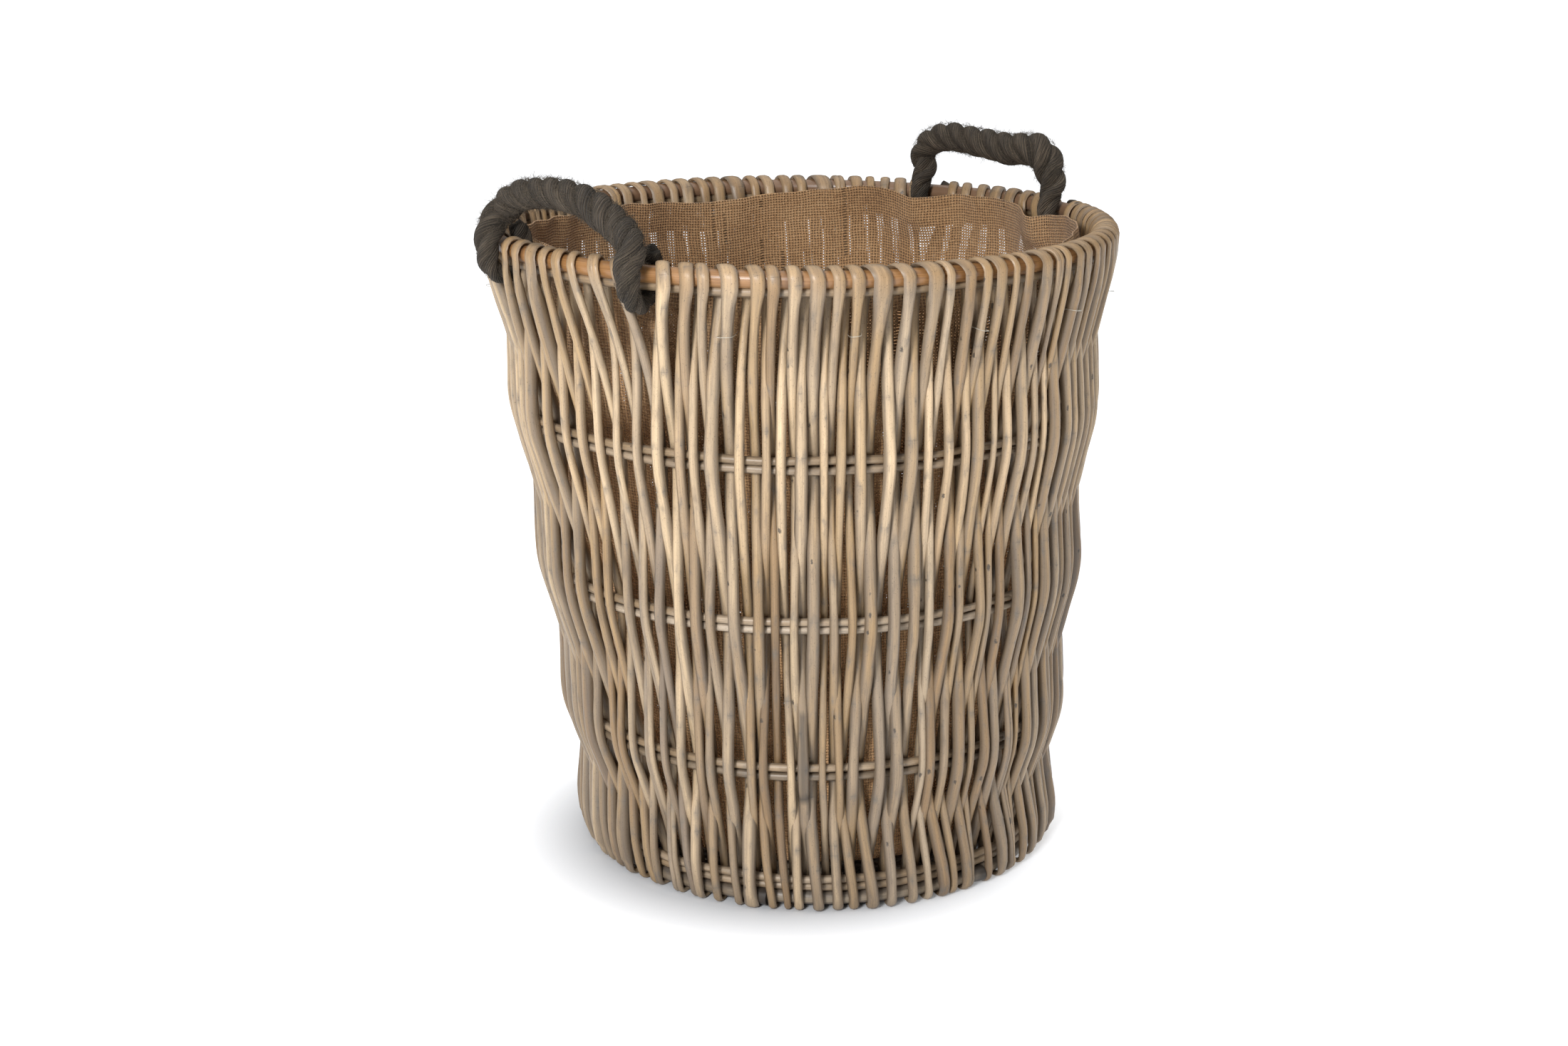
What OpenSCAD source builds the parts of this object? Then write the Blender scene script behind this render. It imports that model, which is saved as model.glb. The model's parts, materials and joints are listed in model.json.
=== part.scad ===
// Round willow basket with a hessian liner and two rope handles.
// Millimetres, +Z up. The origin is on the floor, under the centre of the rim.
// Each willow rod is folded over the rim cane, and its two legs run down the wall in
// opposite step, one in front of a band where the other is behind it.

/* [Body] */
// Outer diameter over the folds at the rim
rim_d = 500; // [480:5:540]
// Outer diameter at the foot
base_d = 394; // [386:2:420]
// Height of the woven wall
body_h = 506; // [480:2:540]
// How far the foot's centre stands to +X of the rim's centre
lean_x = 11; // [-12:1:12]
// How far the foot's centre stands to +Y of the rim's centre
lean_y = -11; // [-12:1:12]

/* [Bands] */
// Height of the upper band
upper_band_z = 360; // [340:2:380]
// Height of the middle band
middle_band_z = 235; // [220:2:250]
// Height of the lower band
lower_band_z = 116; // [100:2:130]
// Diameter of each of a band's two rods
band_rod_d = 6.6; // [5:0.2:7]

/* [Rim and foot hoops] */
// Diameter of the rim cane
cane_d = 13; // [11:0.5:13]
// Diameter of the hoop at the foot
foot_hoop_d = 11; // [9:0.5:11]

/* [Stakes] */
// Rods folded over the rim between a handle's two ends
handle_stakes = 8; // [7:1:8]
// Rods folded over the rim between the two handles, on each side
side_stakes = 38; // [34:1:38]
// Width of a rod along the wall
stake_w = 5.1; // [4:0.1:5.1]
// Thickness of a rod through the wall
stake_t = 7; // [5:0.5:7]

/* [Handles] */
// Half the angle at the rim's centre between a handle's two ends
handle_az = 18.5; // [17:0.5:20]
// Diameter of the rope
rope_d = 23; // [20:0.5:24]
// Height of the grip's middle above the hinge line
grip_h = 51; // [46:1:60]

/* [Liner] */
// Thickness of the hessian
cloth_t = 1.5; // [1:0.1:2]
// Number of threads that tie the liner to the wall
ties = 12; // [6:1:16]

/* [Hidden] */
$fn = 64;
CLEAR = 0.4;

WILLOW = [0.66, 0.57, 0.45];
WILLOW_LIGHT = [0.74, 0.68, 0.58];
CANE = [0.62, 0.43, 0.27];
ROPE = [0.25, 0.22, 0.19];
HESSIAN = [0.66, 0.5, 0.34];
THREAD = [0.85, 0.84, 0.8];

// Fold of a rod over the rim
fold_t = 4;
fold_w = 6;
fold_r = 10.6;
fold_drop = 1.9;
rim_z = body_h - (fold_r + fold_t / 2 - fold_drop);
slot_t = 3.9;
rim_off = sqrt(pow(fold_r, 2) - pow(slot_t, 2));
rim_r = rim_d / 2 - rim_off - fold_t / 2;

// Foot. The outer legs are cut flat at the floor, where each one turns in under the hoop.
foot_t = 3;
foot_cut = 0.5;
foot_z = foot_t + 0.3 + foot_hoop_d / 2;
foot_clear = 0.8;
foot_off = foot_hoop_d / 2 + foot_clear + stake_t / 2;
foot_r = base_d / 2 - foot_off - stake_t / 2;
thin_z = [foot_z + foot_hoop_d / 2 + 3.5, foot_z + foot_hoop_d / 2 + 10.1];
thin_d = 6.4;

// Hoop under the rim cane
under_d = 6.6;
under_drop = 10.1;

// Bands
band_z = [upper_band_z, middle_band_z, lower_band_z];
band_half = 9;
band_off = band_rod_d / 2 + CLEAR + stake_t / 2;
pair_gap = band_rod_d / 2 + 0.3;

// Legs as [height, distance outside the wall line, half thickness], from the rim down
out_leg = [
    [rim_z - fold_drop + 0.6, rim_off, fold_t / 2],
    [rim_z - 12, rim_off - 0.5, stake_t / 2],
    for (b = [0:2], s = [1, -1])
        [band_z[b] + s * band_half, (b == 1 ? 1 : -1) * band_off, stake_t / 2],
    [thin_z[1] + 5, foot_off, stake_t / 2],
    [-foot_cut, foot_off, stake_t / 2],
];
in_leg = [
    for (k = [0:len(out_leg) - 2]) [out_leg[k][0], -out_leg[k][1], out_leg[k][2]],
    [1.5, -foot_off, stake_t / 2],
];
hook_in = 8;
hook_t = foot_t + foot_cut;

// Stakes along the rim, in arcs that leave a gap for each end of a rope.
// The legs stand closer at the rim than at the foot, where they are evenly spaced.
gap_az = 3.9;
handle_slot = 2 * (handle_az - gap_az) / (2 * handle_stakes - 1);
side_slot = (180 - 2 * handle_az - 2 * gap_az) / (2 * side_stakes - 1);
foot_slot = 90 / (handle_stakes + side_stakes);
group = ceil(side_stakes / 4);

// Rope
neck_r = 6.5;
eye_r = 18.5;
hinge_drop = 4.3;
hinge_z = rim_z - hinge_drop;
hinge_x = rim_r * cos(handle_az);
hinge_y = rim_r * sin(handle_az);
corner_r = 20;
neck_z = grip_h - corner_r - 1;
tail_r = 5.5;
tail_l = 21;

// Base
base_r = 168;
stick_d = 6;
stick_gap = 7;
stick_reach = 169;
spoke_az = 22.5;
cross_half = 24;
bend_r = 25;
bend_steps = 4;
stick_z = [15, 21.4];
weave_t = 3.6;
weave_low_z = 8;
weave_top_z = stick_z[1] + stick_d / 2 + CLEAR;
liner_base_z = weave_top_z + weave_t + CLEAR;

// Liner
liner_gap = 13.2;
liner_foot_z = liner_base_z + 9;
liner_bend_z = rim_z - 40;
liner_top_z = rim_z - 12.5;
liner_top_in = 28;

// Tie threads
tie_t = 0.9;
tie_half = 3.6;
tie_z = rim_z - 40;

// Share of the way down from the rim cane to the foot hoop
function down(z) = (rim_z - z) / (rim_z - foot_z);
// Radius of the wall line at a height
function wall_r(z) = rim_r - (rim_r - foot_r) * down(z);
// Centre of the wall at a height
function wall_centre(z) = [lean_x * down(z), lean_y * down(z), z];
// Azimuth of a leg from the middle of its arc, for a leg slot counted from the arc's start
function slot_az(slot, stakes, leg_no) = slot * (leg_no + 0.5 - stakes);
function side_az(side) = side == "front" ? -90 : 90;

// A round hoop on the wall line, moved outwards by off
module hoop(z, d, off = 0) {
    translate(wall_centre(z))
        rotate_extrude()
            translate([wall_r(z) + off, 0])
                circle(d = d);
}

module band_rod(band, s) {
    color(WILLOW_LIGHT) hoop(band_z[band] + s * pair_gap, band_rod_d);
}

// One leg of a rod in the radial plane at az, tilted with the wall's lean and by
// the angle that its foot is turned on from its top
module leg(az, turn, levels, hook = 0) {
    along = lean_x * cos(az) + lean_y * sin(az);
    across = lean_y * cos(az) - lean_x * sin(az) + foot_r * tan(turn);
    tilt = atan(across / (rim_z - foot_z));
    last = len(levels) - 1;
    function edge(k, s) = [
        wall_r(levels[k][0]) + along * down(levels[k][0]) + levels[k][1] + s * levels[k][2],
        (levels[k][0] - rim_z) / cos(tilt)
    ];
    foot = edge(last, -1);
    outline = concat(
        [for (k = [0:last]) edge(k, 1)],
        hook > 0 ? [for (c = [[-hook, 0], [-hook, hook_t], [0, hook_t]]) foot + c] : [foot],
        [for (k = [last - 1:-1:0]) edge(k, -1)]
    );
    rotate([0, 0, az])
        translate([0, 0, rim_z])
            rotate([90 + tilt, 0, 0])
                linear_extrude(height = stake_w, center = true)
                    polygon(outline);
}

// The flattened bend over the cane, from the outer leg to the inner one
module fold(az_out, az_in) {
    diagonal = atan(wall_r(rim_z) * sin((az_out - az_in) / 2) / rim_off);
    rotate([0, 0, (az_out + az_in) / 2])
        translate([rim_r, 0, rim_z - fold_drop])
            rotate([0, 0, diagonal])
                rotate([90, 0, 0])
                    rotate_extrude(angle = 180)
                        translate([fold_r - fold_t / 2, -fold_w / 2])
                            square([fold_t, fold_w]);
}

module floor_cut() {
    translate([-rim_d / 2, -rim_d / 2, -10])
        cube([rim_d, rim_d, 10]);
}

// Stakes number first to last of the arc about the azimuth mid
module stake_run(mid, slot, stakes, first, last) {
    spread = foot_slot / slot - 1;
    color(WILLOW)
        difference() {
            for (k = [first:last]) {
                inner = slot_az(slot, stakes, 2 * k);
                outer = slot_az(slot, stakes, 2 * k + 1);
                leg(mid + outer, outer * spread, out_leg, hook_in);
                leg(mid + inner, inner * spread, in_leg);
                fold(mid + outer, mid + inner);
            }
            floor_cut();
        }
}

module handle_stake_run(mid) {
    stake_run(mid, handle_slot, handle_stakes, 0, handle_stakes - 1);
}

module side_stake_run(side, k) {
    first = group * (k - 1);
    last = min(first + group, side_stakes) - 1;
    stake_run(side_az(side), side_slot, side_stakes, first, last);
}

// Stations along an arm of the base, as [place, direction]: straight out of the bundle,
// round the bend and along its spoke
function arm(k) =
    let (
        spread = spoke_az * k,
        way = [cos(spread), sin(spread)],
        turned = [cross_half + bend_r * way[1], k * stick_gap + bend_r * (1 - way[0])],
        ahead = turned * way,
        reach = sqrt(pow(ahead, 2) - turned * turned + pow(stick_reach, 2)) - ahead
    ) concat(
        [[[-1, k * stick_gap], 0]],
        [for (s = [0:bend_steps])
            let (a = spread * s / bend_steps)
                [[cross_half + bend_r * sin(a), k * stick_gap + bend_r * (1 - cos(a))], a]],
        [[turned + reach * way, spread]]
    );

// One edge of an arm, side to the left of its middle
function arm_edge(k, side) = [
    for (p = arm(k)) p[0] + side * [-sin(p[1]), cos(p[1])]
];

// A stick from the middle of the base, which bends out of the bundle into its spoke
module base_arm(k) {
    left = arm_edge(k, stick_d / 2);
    right = arm_edge(k, -stick_d / 2);
    linear_extrude(height = stick_d, center = true)
        polygon(concat(left, [for (n = [len(right) - 1:-1:0]) right[n]]));
}

// Four sticks side by side at the centre, which spread into eight spokes
module base_sticks(z, turn) {
    color(WILLOW)
        translate(wall_centre(z))
            for (half = [0, 180], m = [0, 1], k = [0.5, 1.5])
                rotate([0, 0, turn + half])
                    mirror([0, m, 0])
                        base_arm(k);
}

module base_weave(z) {
    color(WILLOW)
        translate(wall_centre(z))
            cylinder(h = weave_t, r = base_r);
}

// A tapered cloth tube about the wall's leaning axis, turned inwards at its top
module liner_side() {
    outer = [
        [wall_r(liner_foot_z) - liner_gap, liner_foot_z - rim_z],
        [wall_r(liner_bend_z) - liner_gap, liner_bend_z - rim_z],
        [rim_r - liner_top_in, liner_top_z - rim_z],
    ];
    inner = [for (k = [2:-1:0]) outer[k] - [cloth_t, 0]];
    height = rim_z - foot_z;
    color(HESSIAN)
        translate([0, 0, rim_z])
            rotate([asin(lean_y / height), -asin(lean_x / height), 0])
                rotate_extrude()
                    polygon(concat(outer, inner));
}

module liner_base() {
    color(HESSIAN)
        translate(wall_centre(liner_base_z))
            cylinder(h = cloth_t, r = base_r);
}

// How far a leg has moved round the wall at a height, for the angle that its foot is turned on
function turned_by(turn, z) = foot_r * tan(turn) * down(z);

// A thread round the outer leg at az, with its two ends at the cloth
module tie(az, turn) {
    z = tie_z;
    face = wall_r(z) + lookup(z, [for (p = out_leg) [p[0], p[1]]]) + stake_t / 2 + 0.3;
    inside = wall_r(z) - liner_gap + 1.5;
    shift = wall_centre(z);
    translate([shift[0], shift[1], z])
        rotate([0, 0, az])
            translate([0, turned_by(turn, z), 0])
                linear_extrude(height = tie_t)
                    difference() {
                        translate([inside, -tie_half - tie_t / 2])
                            square([face + tie_t - inside, 2 * tie_half + tie_t]);
                        translate([inside - 1, -tie_half + tie_t / 2])
                            square([face - inside + 1, 2 * tie_half - tie_t]);
                    }
}

module liner_ties() {
    per_side = ties / 2;
    color(THREAD)
        for (side = ["front", "back"], k = [0:per_side - 1]) {
            stake_no = round((k + 0.5) * side_stakes / per_side - 0.5);
            outer = slot_az(side_slot, side_stakes, 2 * stake_no + 1);
            tie(side_az(side) + outer, outer * (foot_slot / side_slot - 1));
        }
}

// One end of the rope: the eye round the rim cane, the neck above it and the cut tail
module rope_end() {
    rotate([90, 0, 0])
        rotate_extrude()
            translate([eye_r, 0])
                circle(r = neck_r);
    translate([0, 0, eye_r - 2])
        cylinder(h = neck_z - eye_r + 2, r1 = neck_r, r2 = rope_d / 2);
    translate([0, 0, neck_z])
        cylinder(h = grip_h - corner_r - neck_z, d = rope_d);
    translate([0, 0, neck_z - 1])
        rotate([-90, 0, 0])
            cylinder(h = tail_l, r = tail_r);
}

module rope_corner() {
    translate([0, -corner_r, grip_h - corner_r])
        rotate([90, 0, 90])
            rotate_extrude(angle = 90)
                translate([corner_r, 0])
                    circle(d = rope_d);
}

module half_grip() {
    translate([0, -corner_r, grip_h])
        rotate([90, 0, 0])
            cylinder(h = hinge_y - corner_r, d = rope_d);
}

// A rope loop whose hinge line is the Y axis
module rope_loop() {
    color(ROPE) {
        for (m = [0, 1])
            mirror([0, m, 0])
                translate([0, hinge_y, 0]) {
                    rope_end();
                    rope_corner();
                    half_grip();
                }
    }
}

module rope_handle(side) {
    translate([side * hinge_x, 0, hinge_z]) rope_loop();
}

color(CANE) hoop(rim_z, cane_d);  // rim_cane
color(WILLOW_LIGHT) hoop(rim_z - under_drop, under_d, 0.5);  // under_rim_hoop
band_rod(0, 1);  // upper_band_top_rod
band_rod(0, -1);  // upper_band_bottom_rod
band_rod(1, 1);  // middle_band_top_rod
band_rod(1, -1);  // middle_band_bottom_rod
band_rod(2, 1);  // lower_band_top_rod
band_rod(2, -1);  // lower_band_bottom_rod
color(WILLOW) hoop(foot_z, foot_hoop_d);  // foot_hoop
color(WILLOW_LIGHT) hoop(thin_z[0], thin_d);  // foot_thin_hoop_lower
color(WILLOW_LIGHT) hoop(thin_z[1], thin_d);  // foot_thin_hoop_upper
handle_stake_run(180);  // stakes_left
handle_stake_run(0);  // stakes_right
for (side = ["front", "back"], k = [1:4])
    side_stake_run(side, k);
base_sticks(stick_z[0], 0);  // base_sticks_lower
base_sticks(stick_z[1], 90);  // base_sticks_upper
base_weave(weave_low_z);  // base_weave_bottom
base_weave(weave_top_z);  // base_weave_top
liner_side();
liner_base();
liner_ties();
rope_handle(-1);  // rope_handle_left
rope_handle(1);  // rope_handle_right
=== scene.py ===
"""A round willow laundry basket with a hessian liner and two rope handles.

Every rod is swept along its own path in the wall: willow folded over the rim cane, thin hoops
between the legs, and a woven base. The liner is one cloth tube and a disc. Each rope is three
strands laid round one path, with loose fibres.
"""
import json
import math

import bpy
import numpy as np
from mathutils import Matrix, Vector


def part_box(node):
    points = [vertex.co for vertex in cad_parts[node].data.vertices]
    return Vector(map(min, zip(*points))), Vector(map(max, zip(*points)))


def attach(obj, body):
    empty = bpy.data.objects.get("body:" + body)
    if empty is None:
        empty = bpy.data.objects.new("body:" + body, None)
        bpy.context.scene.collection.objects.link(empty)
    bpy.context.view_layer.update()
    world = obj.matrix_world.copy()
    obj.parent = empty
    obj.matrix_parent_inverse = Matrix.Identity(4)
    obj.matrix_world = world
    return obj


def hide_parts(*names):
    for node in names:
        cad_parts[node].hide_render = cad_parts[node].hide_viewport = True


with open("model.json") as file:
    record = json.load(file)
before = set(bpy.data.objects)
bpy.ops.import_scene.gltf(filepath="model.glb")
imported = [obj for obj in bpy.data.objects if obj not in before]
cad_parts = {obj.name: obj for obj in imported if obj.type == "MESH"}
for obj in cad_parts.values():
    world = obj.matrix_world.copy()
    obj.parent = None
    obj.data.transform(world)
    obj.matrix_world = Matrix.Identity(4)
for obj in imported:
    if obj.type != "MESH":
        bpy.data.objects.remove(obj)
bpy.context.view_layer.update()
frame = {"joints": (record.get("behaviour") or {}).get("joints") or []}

MM = 0.001
TAU = 2 * math.pi


# ---- the wall, from the frame


def corners(node):
    """The lowest and the highest corner of a CAD node's box."""
    return (np.array(corner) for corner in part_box(node))


def ring(node):
    """Centre, radius of the centreline and rod radius of a CAD hoop."""
    low, high = corners(node)
    rod = (high[2] - low[2]) / 2
    return (low + high) / 2, (high[0] - low[0]) / 2 - rod, rod


RIM, RIM_R, CANE_R = ring("rim_cane")
FOOT, FOOT_R, FOOT_ROD = ring("foot_hoop")
BANDS = [
    [ring(f"{band}_band_{row}_rod") for row in ("top", "bottom")]
    for band in ("upper", "middle", "lower")
]
BAND_Z = [(rows[0][0][2] + rows[1][0][2]) / 2 for rows in BANDS]
BAND_ROD = BANDS[0][0][2]
THIN_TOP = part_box("foot_thin_hoop_upper")[1][2]
RIM_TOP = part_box("stakes_front_1")[1][2]

HANDLE_AZ = math.radians(18.5)
GAP_AZ = math.radians(3.9)
HANDLE_STAKES = 8
SIDE_STAKES = 38
GROUP = 10
FOOT_SLOT = math.pi / 2 / (HANDLE_STAKES + SIDE_STAKES)


def down(z):
    """Share of the way down from the rim cane to the foot hoop."""
    return (RIM[2] - z) / (RIM[2] - FOOT[2])


def wall_r(z):
    return RIM_R - (RIM_R - FOOT_R) * down(z)


def around(count):
    """Even azimuths all the way round."""
    return np.linspace(0, TAU, count + 1)[:-1]


def circle(centre, az, r, z):
    """Points round a centre, from their azimuths, radii and heights."""
    x = centre[0] + r * np.cos(az)
    y = centre[1] + r * np.sin(az)
    return np.stack(np.broadcast_arrays(x, y, z), axis=-1)


def wall_point(az, z, off):
    """Points at an azimuth and a height, off outside the wall's middle line."""
    middle = [RIM[k] + (FOOT[k] - RIM[k]) * down(z) for k in (0, 1)]
    return circle(middle, az, wall_r(z) + off, z)


def outward(az):
    return np.stack([np.cos(az), np.sin(az), np.zeros_like(az)], axis=-1)


UP = np.array([0.0, 0.0, 1.0])


# ---- meshes


def unit(v):
    return v / np.maximum(np.linalg.norm(v, axis=-1, keepdims=True), 1e-12)


def clamp(values):
    return np.clip(values, 0, 1)


def bell(away, sigma):
    """A smooth hump, one high at its middle."""
    return np.exp(-0.5 * (away / sigma) ** 2)


def smooth(values, sigma, step):
    """A row of values blurred along its length."""
    reach = max(1, int(3 * sigma / step))
    kernel = bell(np.arange(-reach, reach + 1) * step, sigma)
    padded = np.pad(values, reach, mode="edge")
    return np.convolve(padded, kernel / kernel.sum(), mode="valid")


def unevenness(rng, count, sigma, step):
    """Random ups and downs along a line, blurred over a distance."""
    return smooth(rng.normal(0, 1, count), sigma, step)


def round_line(angle, normal, other):
    """Directions round a line, by their angles from its first normal to its other one."""
    return np.cos(angle)[:, None] * normal + np.sin(angle)[:, None] * other


def nearest(az, places):
    """How far each azimuth is from the nearest of some places, in radians."""
    return np.abs((az[:, None] - np.asarray(places) + math.pi) % TAU - math.pi).min(1)


def along(path):
    """Distance along a path at each of its points."""
    steps = np.linalg.norm(np.diff(path, axis=0), axis=1)
    return np.concatenate([[0.0], np.cumsum(steps)])


# moves rods of different tones to different stretches of the grain
GRAIN_SHIFT = 52.7


class Tubes:
    """Swept rods that become one mesh, with the coordinates that their materials use."""

    def __init__(self):
        self.points, self.faces, self.grain, self.rod = [], [], [], []
        self.count = 0

    def add(self, points, grain, facts):
        """Keeps points with what their material reads, and gives the number of the first."""
        first = self.count
        self.points.append(points.reshape(-1, 3))
        self.grain.append(grain.reshape(-1, 3))
        self.rod.append(facts.reshape(-1, 4))
        self.count += len(self.points[-1])
        return first

    def sweep(self, path, normal, wide, thick, sides, tone, closed=False, ripple=None,
              spin=0.0, mark=0.0, honey=0.0, darkening_and_painted_light=0.0, cut=0.0):
        """Sweeps an ellipse along a path. normal points to its thick side at each point."""
        n = len(path)
        if closed:
            tangent = unit(np.roll(path, -1, axis=0) - np.roll(path, 1, axis=0))
        else:
            tangent = unit(np.gradient(path, axis=0))
        normal = unit(normal - (normal * tangent).sum(1, keepdims=True) * tangent)
        side = np.cross(tangent, normal)
        theta = np.arange(sides) * TAU / sides
        size = np.ones((n, sides)) if ripple is None else ripple(theta, along(path))
        wide = np.broadcast_to(wide, n)
        thick = np.broadcast_to(thick, n)
        a = (np.cos(theta) * size * wide[:, None])[..., None] * side[:, None]
        b = (np.sin(theta) * size * thick[:, None])[..., None] * normal[:, None]
        rings = path[:, None] + a + b
        s = np.broadcast_to(along(path)[:, None], (n, sides))
        turn = theta + spin * s
        r = 0.5 * (wide + thick)[:, None]
        grain = np.stack([r * np.cos(turn), r * np.sin(turn), s], axis=-1)
        grain = grain + tone * GRAIN_SHIFT * UP
        facts = np.empty((n, sides, 4))
        facts[..., 0] = tone
        facts[..., 1] = mark if np.ndim(mark) == 2 else np.reshape(mark, (-1, 1))
        facts[..., 2] = np.reshape(honey, (-1, 1))
        # The fourth channel: darker above one half, paler below it; on the wall's rods the paler side is
        # painted light.
        facts[..., 3] = 0.5 + 0.5 * np.reshape(darkening_and_painted_light, (-1, 1))
        base = self.add(rings, grain, facts)
        i = np.arange(n if closed else n - 1)[:, None]
        k = np.arange(sides)[None]
        j = (i + 1) % n
        nk = (k + 1) % sides
        quads = np.stack([i * sides + k, j * sides + k, j * sides + nk, i * sides + nk], axis=-1)
        self.faces += (base + quads.reshape(-1, 4)).tolist()
        for at, order in () if closed else ((0, 1), (n - 1, -1)):
            end = facts[at, 0].copy()
            end[1] = max(end[1], cut)
            centre = self.add(path[at], grain[at].mean(0), end)
            for q in range(sides):
                pair = [base + at * sides + q, base + at * sides + (q + 1) % sides][::order]
                self.faces.append([centre, *pair])

    def hairs(self, starts, ends, bends, width, tone):
        """Thin three-sided fibres, each bent once."""
        n = len(starts)
        a, b, c = (points[:, None] for points in (starts, ends, bends))
        t = np.linspace(0, 1, 4)[None, :, None]
        path = (1 - t) ** 2 * a + 2 * t * (1 - t) * c + t ** 2 * b
        side = unit(np.cross(b - a, [0.3, 0.5, 0.8]))
        other = np.cross(unit(b - a), side)
        turn = (np.arange(3) * TAU / 3)[:, None]
        round_it = np.cos(turn) * side[:, :, None] + np.sin(turn) * other[:, :, None]
        size = width * np.array([1.0, 0.9, 0.6, 0.2])[:, None, None]
        rings = path[:, :, None] + size * round_it
        i, k = np.meshgrid(np.arange(3) * 3, np.arange(3), indexing="ij")
        nk = (k + 1) % 3
        quads = np.stack([i + k, i + 3 + k, i + 3 + nk, i + nk], axis=-1).reshape(1, -1, 4)
        first = self.add(rings, rings, np.tile([tone, 0.0, 1.0, 0.5], (12 * n, 1)))
        self.faces += (first + 12 * np.arange(n)[:, None, None] + quads).reshape(-1, 4).tolist()

    def build(self, name, material, node, body="basket", sharp=50.0):
        mesh = new_mesh(name, np.concatenate(self.points).tolist(), self.faces)
        for label, kind, key, rows in (("grain", "FLOAT_VECTOR", "vector", self.grain),
                                       ("rod", "FLOAT_COLOR", "color", self.rod)):
            made = mesh.attributes.new(label, kind, "POINT")
            made.data.foreach_set(key, np.concatenate(rows).astype(np.float32).ravel())
        place(name, mesh, material, node, body, sharp)


def new_mesh(name, points, faces):
    mesh = bpy.data.meshes.new(name)
    mesh.from_pydata(points, [], faces)
    return mesh


def add_object(name, data):
    made = bpy.data.objects.new(name, data)
    bpy.context.scene.collection.objects.link(made)
    return made


def place(name, mesh, material, node, body="basket", sharp=50.0):
    """Makes a mesh into a piece that rides on a body and stands for a CAD node."""
    mesh.validate()
    mesh.shade_smooth()
    mesh.set_sharp_from_angle(angle=math.radians(sharp))
    piece = add_object(name, mesh)
    mesh.materials.append(material)
    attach(piece, body)
    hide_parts(node)
    return piece


# ---- materials


class Shader:
    """A material's nodes, made by short calls."""

    def __init__(self, name):
        self.material = bpy.data.materials.new(name)
        self.material.use_nodes = True
        self.tree = self.material.node_tree
        self.bsdf = self.tree.nodes["Principled BSDF"]

    def node(self, kind, inputs=(), output=0, **props):
        made = self.tree.nodes.new("ShaderNode" + kind)
        for key, value in props.items():
            setattr(made, key, value)
        for key, value in dict(inputs).items():
            self.feed(made.inputs[key], value)
        return made.outputs[output]

    def feed(self, socket, value):
        if isinstance(value, bpy.types.NodeSocket):
            self.tree.links.new(value, socket)
        else:
            socket.default_value = value

    def attribute(self, name, output):
        return self.node("Attribute", output=output, attribute_name=name)

    def parts(self, value, kind="XYZ"):
        """The three parts of a vector, or of a colour if kind is Color."""
        return list(self.node("Separate" + kind, {0: value}).node.outputs)

    def math(self, operation, a, b=0.0, c=0.0):
        return self.node("Math", {0: a, 1: b, 2: c}, operation=operation)

    def plus(self, a, b):
        return self.math("ADD", a, b)

    def minus(self, a, b):
        return self.math("SUBTRACT", a, b)

    def times(self, a, b):
        return self.math("MULTIPLY", a, b)

    def above(self, a, b):
        return self.math("GREATER_THAN", a, b)

    def times_plus(self, a, b, c):
        return self.math("MULTIPLY_ADD", a, b, c)

    def vector(self, operation, a, b):
        facts = {0: a, "Scale" if operation == "SCALE" else 1: b}
        return self.node("VectorMath", facts, operation=operation)

    def scaled(self, vector, scale):
        return self.node("Mapping", {"Vector": vector, "Scale": scale})

    def noise(self, vector, stretch=None, scale=1.0, detail=2.0, rough=0.5, output=0):
        if stretch:
            vector = self.scaled(vector, stretch)
        facts = {"Vector": vector, "Scale": scale, "Detail": detail, "Roughness": rough}
        return self.node("TexNoise", facts, output=output)

    def lot(self, number):
        """A random value from 0 to 1 for each number."""
        return self.node("TexWhiteNoise", {"W": number}, noise_dimensions="1D")

    def ramp(self, fac, *stops):
        out = self.node("ValToRGB", {"Fac": fac})
        elements = out.node.color_ramp.elements
        while len(elements) < len(stops):
            elements.new(1.0)
        for element, (at, colour) in zip(elements, stops):
            element.position = at
            element.color = (*colour, 1.0)
        return out

    def span(self, value, low, high, to_low=0.0, to_high=1.0):
        facts = {0: value, 1: low, 2: high, 3: to_low, 4: to_high}
        return self.node("MapRange", facts, clamp=True)

    def mix(self, fac, a, b, blend="MIX"):
        made = self.tree.nodes.new("ShaderNodeMix")
        made.data_type = "RGBA"
        made.blend_type = blend
        self.feed(made.inputs[0], fac)
        for at, colour in ((6, a), (7, b)):
            is_socket = isinstance(colour, bpy.types.NodeSocket)
            self.feed(made.inputs[at], colour if is_socket else (*colour, 1.0))
        return made.outputs[2]

    def shaded(self, colour, factor):
        """A colour times a grey factor."""
        grey = self.node("CombineXYZ", {0: factor, 1: factor, 2: factor})
        return self.mix(1.0, colour, grey, "MULTIPLY")

    def bump(self, height, strength, distance):
        return self.node("Bump", {"Height": height, "Strength": strength, "Distance": distance})

    def set(self, **inputs):
        for key, value in inputs.items():
            self.feed(self.bsdf.inputs[key.replace("_", " ")], value)


GREY_BROWN = (0.285, 0.235, 0.185)
# Pale wood colour, used as painted light on the upper wall and as paler wood on the inner legs.
PALE_WOOD_AND_PAINTED_LIGHT = (0.660, 0.485, 0.300)
STAIN = (0.120, 0.112, 0.100)
BUDS_PER_M = 88.0
RINGS_PER_M = 5.0


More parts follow.
